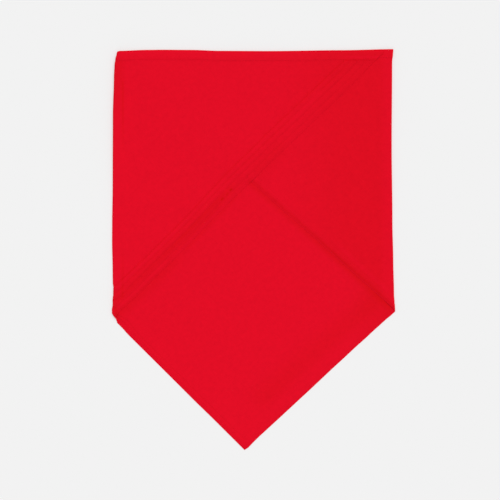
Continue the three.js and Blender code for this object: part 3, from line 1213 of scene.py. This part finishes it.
@dataclass(frozen=True)
class RibbedBand:
    """The band on the left short edge: four ridges with a row of stitches in each valley.

    The two inner ridges stand on a second turn of the cloth, a step higher than the outer two. Under
    the base the band lies pressed flat.
    """

    form: FoldedForm
    edge_thick: float = 0.25
    ridges: tuple[Ridge, ...] = (
        Ridge(0.265, 0.66, 0.3),
        Ridge(0.262, 0.95, 0.55),
        Ridge(0.233, 1.35, 0.72),
        Ridge(0.24, 1.2, 0.15),
    )
    points_a_ridge: int = 10
    breath: float = 0.045  # how much wider and narrower the band is in places
    breath_at: float = 0.36  # where it is widest, as a share of the left flap's length
    breath_out: float = 0.1  # in what share it comes back to its usual width past the left fold
    tip_share: float = 0.6
    tip_from: float = 5.0
    tip_over: float = 65.0
    roundness: float = 0.8  # how softly a ridge goes down into its valleys: 0.5 is steepest
    fullness: float = 2.3  # how broad a ridge's crest is: 2 is a half circle
    below_hem: float = 0.3  # where it starts under the hem
    end_length: float = 6.0  # length of the rings that turn from the hem's direction to its own
    end_rings: int = 6

    def breathing(self, u: Array) -> Array:
        """How much wider than its usual width the band is.

        Args:
            u: Distance along the long edge.

        Returns:
            The factor.
        """
        share = u / self.form.left_bend_flap
        wave = np.cos(2 * math.pi * (share - self.breath_at))
        return 1 + self.breath * wave * fall(share - 1, self.breath_out)

    def flattening(self, u: Array) -> Array:
        """Share of its height that the band has, least towards the flap's tip."""
        return self.tip_share + (1 - self.tip_share) * smooth(u - self.tip_from, self.tip_over)

    def profile(self) -> tuple[Array, Array]:
        """Lays out the band's outer face, ridge by ridge.

        Returns:
            Distances from the free edge, and thicknesses there.
        """
        inside, thick = [], []
        start, foot = 0.0, self.edge_thick
        for ridge in self.ridges:
            width = ridge.width * self.form.trim.band
            shares = np.linspace(0, 1, self.points_a_ridge + 1)[1:]
            floor = foot + (ridge.valley - foot) * shares
            arch = np.clip(1 - np.abs(2 * shares - 1) ** self.fullness, 0, 1) ** self.roundness
            inside.extend(start + width * shares)
            thick.extend(floor + (ridge.crest - floor) * arch)
            start, foot = start + width, ridge.valley
        return np.array(inside), np.array(thick)

    def valleys(self) -> list[tuple[float, float]]:
        """Distance from the free edge and thickness at each valley between two ridges."""
        starts = np.cumsum([ridge.width for ridge in self.ridges[:-1]]) * self.form.trim.band
        return [(float(start), ridge.valley) for start, ridge in zip(starts, self.ridges)]

    def section(self) -> Section:
        """Lays out the rings of the band.

        Returns:
            The section.
        """
        form, cut, trim = self.form, self.form.cut, self.form.trim
        face = -cut.wall / 2 - trim.gap
        steps = np.concatenate([[1.0], EDGE_STEPS])
        nose = trim.band_nose * np.abs(steps)
        nose_inner = np.linspace(cut.wall / 2 - CLEAR, face, len(nose))
        inside, thick = self.profile()
        keep = inside > trim.band_nose
        inside, thick = inside[keep], thick[keep]
        out_d = np.concatenate([nose, inside])
        in_d = np.concatenate([np.full(len(nose), trim.band_nose), inside])
        ring_d = np.concatenate([out_d, in_d[::-1]])[None, :]
        ends = (trim.hem + self.below_hem + ring_d * cut.left_steep) / cut.left_slope
        whole = form.columns()
        whole = whole[(whole > float(ends.max()) + self.end_length) & (whole <= cut.corner_at)][:, None]
        shares = np.linspace(0, 1, self.end_rings + 1)[:-1, None]
        broad = np.broadcast_to(whole, (len(whole), ring_d.size))
        u = np.concatenate([ends + (whole[0] - ends) * shares, broad])
        shown = form.turned_over(u)
        w = cut.left_slope * u - ring_d * self.breathing(u) * cut.left_steep
        raised = np.concatenate([np.full(len(nose), thick[0]), thick]) * self.flattening(u[:, : len(out_d)])
        outer_thick = trim.hem_thick + (raised - trim.hem_thick) * shown[:, : len(out_d)]
        n = np.empty_like(u)
        n[:, len(nose) : len(out_d)] = face - outer_thick[:, len(nose) :]
        bottom = face - outer_thick[:, len(nose) : len(nose) + 1]
        top = np.full_like(bottom, cut.wall / 2)
        n[:, : len(nose)] = leaning_edge(top, bottom, steps, shown[:, : len(nose)])
        inner = np.concatenate([nose_inner, np.full(len(inside), face)])
        n[:, len(out_d) :] = inner[::-1]
        return Section(u, w, n)

    def build(self, settled: Settled, finish: Material) -> Piece:
        """Makes the band, in place of the CAD's.

        Args:
            settled: The folded form in the shared frame.
            finish: The material.

        Returns:
            The piece.
        """
        band = swept_object("band", settled, self.section(), finish)
        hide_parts("left_edge_band")
        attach(band, "root")
        return band


@dataclass(frozen=True)
class StitchRow:
    """One row of stitches on one face of the cloth."""

    seam: Seam
    inside: float
    surface: float  # n of the face that it lies on
    u_from: float
    u_to: float
    raised: float = 0.0  # height of the band's valley that it lies in


@dataclass(frozen=True)
class Stitches:
    """Lockstitches, laid along their rows by Geometry Nodes: a short grain of thread at each pitch."""

    form: FoldedForm
    pitch: float = 3.0
    length: float = 2.3
    thick: float = 0.42
    flatness: float = 0.7
    lift: float = 0.5  # length of the pointers that show which way is off the cloth
    least: tuple[float, float, float] = (0.88, 0.85, 0.8)  # size of the smallest and the largest stitch
    most: tuple[float, float, float] = (1.08, 1.1, 1.15)
    seed: int = 11

    def path(self, row: StitchRow) -> Section:
        """Follows a row over the cloth.

        Args:
            row: The row.

        Returns:
            Two lines of points, on the face and a little above it.
        """
        cut = self.form.cut
        u = np.arange(row.u_from, row.u_to, 1.0)
        face = np.full_like(u, row.surface)
        if row.seam is Seam.LONG_EDGE:
            w = np.full_like(u, row.inside)
        elif row.seam is Seam.LEFT_EDGE:
            band = RibbedBand(self.form)
            inside = row.inside * (band.breathing(u) if row.raised else 1.0)
            w = cut.left_slope * u - inside * cut.left_steep
            face -= row.raised * band.flattening(u)
        else:
            w = cut.right_slope * (cut.long_edge - u) - row.inside * cut.right_steep
        above = face + math.copysign(self.lift, row.surface)
        return Section(np.stack([u, u]), np.stack([w, w]), np.stack([face, above]))

    def tree(self, thread: Material) -> Tree:
        """Builds the tree that lays the stitches.

        Args:
            thread: Material of the stitches.

        Returns:
            The node tree.
        """
        tree = bpy.data.node_groups.new("stitch_rows", "GeometryNodeTree")
        sockets = tree.interface
        sockets.new_socket("Geometry", in_out="INPUT", socket_type="NodeSocketGeometry")
        for name in ("Pitch", "Length", "Thickness"):
            sockets.new_socket(name, in_out="INPUT", socket_type="NodeSocketFloat")
        sockets.new_socket("Geometry", in_out="OUTPUT", socket_type="NodeSocketGeometry")
        given = add_node(tree, "NodeGroupInput").outputs
        line = add_node(tree, "GeometryNodeMeshToCurve", {"Mesh": given["Geometry"]})
        every = {"Curve": line, "Length": given["Pitch"]}
        spots = add_node(tree, "GeometryNodeCurveToPoints", every, mode="LENGTH")
        named = {"Name": UP_ATTRIBUTE}
        up = add_node(tree, "GeometryNodeInputNamedAttribute", named, data_type="FLOAT_VECTOR")
        axes = {"Primary Axis": up, "Secondary Axis": spots.outputs["Tangent"]}
        turn = add_node(tree, "FunctionNodeAxesToRotation", axes, primary_axis="Z", secondary_axis="X")
        grain = add_node(tree, "GeometryNodeMeshUVSphere", {"Segments": 6, "Rings": 4, "Radius": 0.5})
        thick = given["Thickness"]
        flat = add_node(tree, "ShaderNodeMath", {0: thick, 1: self.flatness}, operation="MULTIPLY")
        size = add_node(tree, "ShaderNodeCombineXYZ", {0: given["Length"], 1: thick, 2: flat})
        sizes = {"Min": self.least, "Max": self.most, "Seed": self.seed}
        uneven = add_node(tree, "FunctionNodeRandomValue", sizes, data_type="FLOAT_VECTOR")
        scale = add_node(tree, "ShaderNodeVectorMath", {0: size, 1: uneven}, operation="MULTIPLY")
        grains = {"Points": spots, "Instance": grain, "Rotation": turn, "Scale": scale}
        laid = add_node(tree, "GeometryNodeInstanceOnPoints", grains)
        real = add_node(tree, "GeometryNodeRealizeInstances", {0: laid})
        dressed = add_node(tree, "GeometryNodeSetMaterial", {"Geometry": real, "Material": thread})
        add_node(tree, "NodeGroupOutput", {0: dressed})
        return tree

    def build(
        self, name: str, slot: str, settled: Settled, rows: list[StitchRow], thread: Material
    ) -> Piece:
        """Lays several rows of stitches as one piece.

        Args:
            name: Name of the piece.
            slot: Not used.
            settled: The folded form in the shared frame.
            rows: The rows.
            thread: Material of the stitches.

        Returns:
            The piece, a plain mesh.
        """
        places, ups, edges = [], [], []
        for row in rows:
            line, above = settled.points(self.path(row))
            start = sum(len(part) for part in places)
            edges.extend((start + i, start + i + 1) for i in range(len(line) - 1))
            places.append(line)
            ups.append((above - line) / np.linalg.norm(above - line, axis=1, keepdims=True))
        mesh = bpy.data.meshes.new(name)
        mesh.from_pydata(np.concatenate(places).tolist(), edges, [])
        marks = mesh.attributes.new(UP_ATTRIBUTE, "FLOAT_VECTOR", "POINT")
        marks.data.foreach_set("vector", np.concatenate(ups).ravel())
        guide = bpy.data.objects.new(f"{name}_path", mesh)
        bpy.context.scene.collection.objects.link(guide)
        modifier = guide.modifiers.new("stitches", "NODES")
        tree = self.tree(thread)
        modifier.node_group = tree
        sizes = {"Pitch": self.pitch, "Length": self.length, "Thickness": self.thick}
        for item in tree.interface.items_tree:
            if item.in_out == "INPUT" and item.name in sizes:
                modifier[item.identifier] = sizes[item.name] * MM
        evaluated = guide.evaluated_get(bpy.context.evaluated_depsgraph_get())
        grains = bpy.data.meshes.new_from_object(evaluated)
        bpy.data.objects.remove(guide)
        grains.name = name
        grains.shade_smooth()
        piece = bpy.data.objects.new(name, grains)
        bpy.context.scene.collection.objects.link(piece)
        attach(piece, "root")
        return piece


# Painted shade in soft streaks: along the band and the left flap's free edge, a painted shadow along the
# right flap's free edge, beside the base's right edge, at the top left and beside the left fold. Those with a
# depth below 0 are painted light.
PAINTED_SHADE_MARKS = (
    SoftMark((-176, -74), (0, 96), 12, 8, 0.26, 4, 50),
    SoftMark((-170, -84), (-82, -1), 6, 14, 0.24, 8, 24),
    SoftMark((-92.8, -12.4), (-4.1, 80.4), 4, 4.5, 0.2, 24, 30),
    SoftMark((-110.4, -20.9), (-24.8, 68.5), 1.6, 2.5, 0.18, 15, 50),
    SoftMark((-115.4, -16.1), (-18.8, 84.9), 2.2, 3, 0.15, 40, 20),
    SoftMark((-166.7, -64.8), (-163.3, -82.8), 3.5, 3, 0.35, 6, 4),
    SoftMark((-7, 85.6), (170, -73), 6.5, 9.5, 0.36, 7, 4),
    SoftMark((-6, -195), (160, -50), 29, 17, 0.19, 30, 25),
    SoftMark((-166, 145), (-163.5, 229), 4, 15, 0.26, 50, 4),
    SoftMark((-156.5, 205), (-156.3, 100), 2.2, 2.2, 0.33, 6, 70),
    SoftMark((-156.5, 10), (-157, -62), 2.2, 2.2, 0.22, 40, 6),
    # Painted shade of a soft hollow above the crossing
    SoftMark((-4.1, 85.2), (43.9, 136.8), 24, 22, 0.15, 14, 26),
    # Painted light in lighter streaks: on the band's inner ridge, on the hem's right end, and on the right
    # flap above its free edge, with a painted darker streak beside the last
    SoftMark((40.2, 149.3), (84.1, 195.2), 3.4, 4.6, -0.2, 10, 12),
    SoftMark((97, 230.6), (162, 230.6), 2.4, 2.6, -0.25, 20, 4),
    SoftMark((92.6, 12.2), (165.4, -54.7), 6, 3, -0.16, 24, 12),
    SoftMark((71.4, 16.3), (132.3, -39.8), 3.5, 4, 0.13, 16, 10),
    # Painted shade of small puckers where the band comes down from the right flap
    SoftMark((-6.7, 82.8), (-1.2, 78.4), 1.9, 1.9, 0.12, 1.8, 2.4),
    SoftMark((-7.6, 87.6), (-5.4, 91.6), 1.4, 1.4, 0.25, 1.5, 1.5),
    SoftMark((-29, 69.7), (-25.4, 73.6), 1.7, 1.7, 0.8, 1.5, 1.5),
    SoftMark((-39.8, 58.4), (-35.4, 62.8), 1.6, 1.6, 0.7, 1.5, 1.5),
    SoftMark((-33.6, 64.6), (-29.8, 68.8), 1.4, 1.4, 0.45, 1.5, 1.5),
)


@dataclass(frozen=True)
class Neckerchief:
    """The whole neckerchief: cloth, hem, band and their stitches."""

    form: FoldedForm = field(default_factory=FoldedForm)
    sunk: float = 0.12  # how deep stitches lie in the furrows of the cloth
    pressed_in: float = 0.06  # and in the hem and the band
    roll_share: float = 0.8  # height of the roll where its stitches lie
    valley_share: float = 0.9  # height of the band's valleys where theirs do
    long_from: float = 14.0  # where the rows along the long edge start
    row_end: float = 2.0  # what a row leaves free at its ends
    below_hem: float = 1.0  # where the rows in the band start
    left_corner: float = 9.0  # what the rows along the short edges leave free at the corner
    right_corner: float = 7.0

    def settled(self) -> Settled:
        """Sets the folded form on the ground, with its middle where the CAD's middle is.

        Returns:
            The form in the shared frame.
        """
        parts = (ClothSheet(self.form), LongHem(self.form), RibbedBand(self.form))
        sections = [part.section() for part in parts]
        points = np.concatenate([self.form.place(s.u, s.w, s.n).reshape(-1, 3) for s in sections])
        low, high = points.min(axis=0), points.max(axis=0)
        boxes = [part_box(node) for node in ("folded_cloth", "long_edge_hem", "left_edge_band")]
        lows, highs = zip(*boxes)
        cad_low, cad_high = np.min(lows, axis=0), np.max(highs, axis=0)
        shift = (cad_low + cad_high) / 2 / MM - (low + high) / 2
        shift[2] = -low[2]
        return Settled(self.form, shift)

    def rows(self) -> tuple[list[StitchRow], list[StitchRow], list[StitchRow]]:
        """Lays out the rows of stitches.

        Returns:
            The rows that belong to the cloth, to the hem and to the band.
        """
        form, cut, trim = self.form, self.form.cut, self.form.trim
        right_side, wrong_side = cut.wall / 2 - self.sunk, -cut.wall / 2
        steep_from = (trim.hem_seam + trim.left_seam * cut.left_steep) / cut.left_slope
        tail = cut.long_edge - (trim.hem_seam + trim.right_seam * cut.right_steep) / cut.right_slope
        along_long = (self.long_from, form.right_end - self.row_end)
        along_left = (steep_from + self.row_end, cut.corner_at - self.left_corner)
        along_right = (cut.corner_at + self.right_corner, min(tail, form.right_end) - self.row_end)
        on_roll = wrong_side - trim.roll_thick * self.roll_share
        on_hem = wrong_side - trim.gap - trim.hem_thick + self.pressed_in
        on_band = wrong_side - trim.gap + self.pressed_in
        cloth_rows = [
            StitchRow(Seam.LONG_EDGE, trim.hem_seam, right_side, *along_long),
            StitchRow(Seam.LEFT_EDGE, trim.left_seam, right_side, *along_left),
            StitchRow(Seam.RIGHT_EDGE, trim.right_seam, right_side, *along_right),
            StitchRow(Seam.RIGHT_EDGE, trim.right_seam, on_roll, *along_right),
        ]
        band_rows = []
        for inside, thick in RibbedBand(form).valleys():
            start = (trim.hem + self.below_hem + inside * cut.left_steep) / cut.left_slope
            ends, raised = (start, form.left_bend_flap), thick * self.valley_share
            band_rows.append(StitchRow(Seam.LEFT_EDGE, inside, on_band, *ends, raised))
        return cloth_rows, [StitchRow(Seam.LONG_EDGE, trim.hem_seam, on_hem, *along_long)], band_rows

    def build(self) -> list[Piece]:
        """Returns:
            The pieces.
        """
        form, cut = self.form, self.form.cut
        settled = self.settled()
        # Both cottons carry the painted shade and painted light of the soft streaks in their colour
        cotton = WovenCotton(marks=PAINTED_SHADE_MARKS).material()
        band_cotton = WovenCotton(name="woven_cotton_red_band", pucker_depth=0.05, marks=PAINTED_SHADE_MARKS).material()
        thread = SewingThread().material()
        cloth = ClothSheet(form).build(settled, cotton)
        hem = LongHem(form).build(settled, cotton)
        band = RibbedBand(form).build(settled, band_cotton)
        stitches = Stitches(form)
        cloth_rows, hem_rows, band_rows = self.rows()
        sewn = [
            stitches.build("cloth_stitches", "cloth", settled, cloth_rows, thread),
            stitches.build("hem_stitches", "hem", settled, hem_rows, thread),
            stitches.build("band_stitches", "band", settled, band_rows, thread),
        ]
        return [cloth, hem, band, *sewn]


@dataclass(frozen=True)
class Studio:
    """A pale table lit softly all round, with a broad key light from above the long edge."""

    floor_colour: str = "#F2F2F2"
    floor_size: float = 30.0
    floor_glow: float = 0.5  # share of its brightness that the floor gives off itself
    surround: float = 0.72
    key_height: float = 50.0
    key_turn: float = 24.0  # from the long edge's side towards the right
    key_spread: float = 40.0
    camera_height: float = 2.4
    camera_lens: float = 144.0
    sensor_width: float = 36.0
    clip_end: float = 100.0
    aim: tuple[float, float] = (-0.0042, -0.0005)

    def floor(self) -> Piece:
        """Makes the table that the neckerchief lies on.

        Returns:
            The floor, marked as part of the stage.
        """
        bpy.ops.mesh.primitive_plane_add(size=self.floor_size, location=(0, 0, 0))
        floor = bpy.context.object
        floor.name = "table_top"
        material = empty_material("matt_lacquer_white")
        white = linear_colour(self.floor_colour)
        surface = {
            "Base Color": (*(part * (1 - self.floor_glow) for part in white[:3]), 1.0),
            "Roughness": 1.0,
            "Specular IOR Level": 0.0,
            "Emission Color": white,
            "Emission Strength": self.floor_glow,
        }
        shader = add_node(material.node_tree, "ShaderNodeBsdfPrincipled", surface)
        add_node(material.node_tree, "ShaderNodeOutputMaterial", {"Surface": shader})
        floor.data.materials.append(material)
        return floor

    def light(self) -> None:
        """Lights the scene: an even surround and one broad key light, 1 in all on level ground."""
        world = bpy.data.worlds.new("soft_surround")
        bpy.context.scene.world = world
        world.use_nodes = True
        back = world.node_tree.nodes["Background"]
        back.inputs["Color"].default_value = (1.0, 1.0, 1.0, 1.0)
        back.inputs["Strength"].default_value = self.surround
        sun = bpy.data.lights.new("key_light", "SUN")
        rise, turn = math.radians(self.key_height), math.radians(self.key_turn)
        sun.energy = (1 - self.surround) * math.pi / math.sin(rise)
        sun.angle = math.radians(self.key_spread)
        lamp = bpy.data.objects.new("key_light", sun)
        towards = Vector((math.sin(turn) * math.cos(rise), math.cos(turn) * math.cos(rise), math.sin(rise)))
        lamp.rotation_euler = towards.to_track_quat("Z", "Y").to_euler()
        bpy.context.scene.collection.objects.link(lamp)

    def camera(self) -> None:
        """Sets the camera straight above, with the long edge at the top of the picture."""
        data = bpy.data.cameras.new("camera")
        data.lens = self.camera_lens
        data.sensor_width = self.sensor_width
        data.clip_end = self.clip_end
        camera = bpy.data.objects.new("camera", data)
        camera.location = (self.aim[0], self.aim[1], self.camera_height)
        bpy.context.scene.collection.objects.link(camera)
        bpy.context.scene.camera = camera

    def build(self) -> None:
        """Makes floor, light and camera."""
        self.floor()
        self.light()
        self.camera()
        bpy.context.scene.view_settings.view_transform = "Standard"


def main() -> None:
    """Loads the frame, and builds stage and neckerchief."""
    logging.basicConfig(level=logging.INFO, format="%(message)s")
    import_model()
    Studio().build()
    for piece in Neckerchief().build():
        count = sum(len(face.vertices) - 2 for face in piece.data.polygons)
        LOG.info("%s: %d triangles", piece.name, count)
    bpy.context.view_layer.update()


if __name__ == "__main__":
    main()
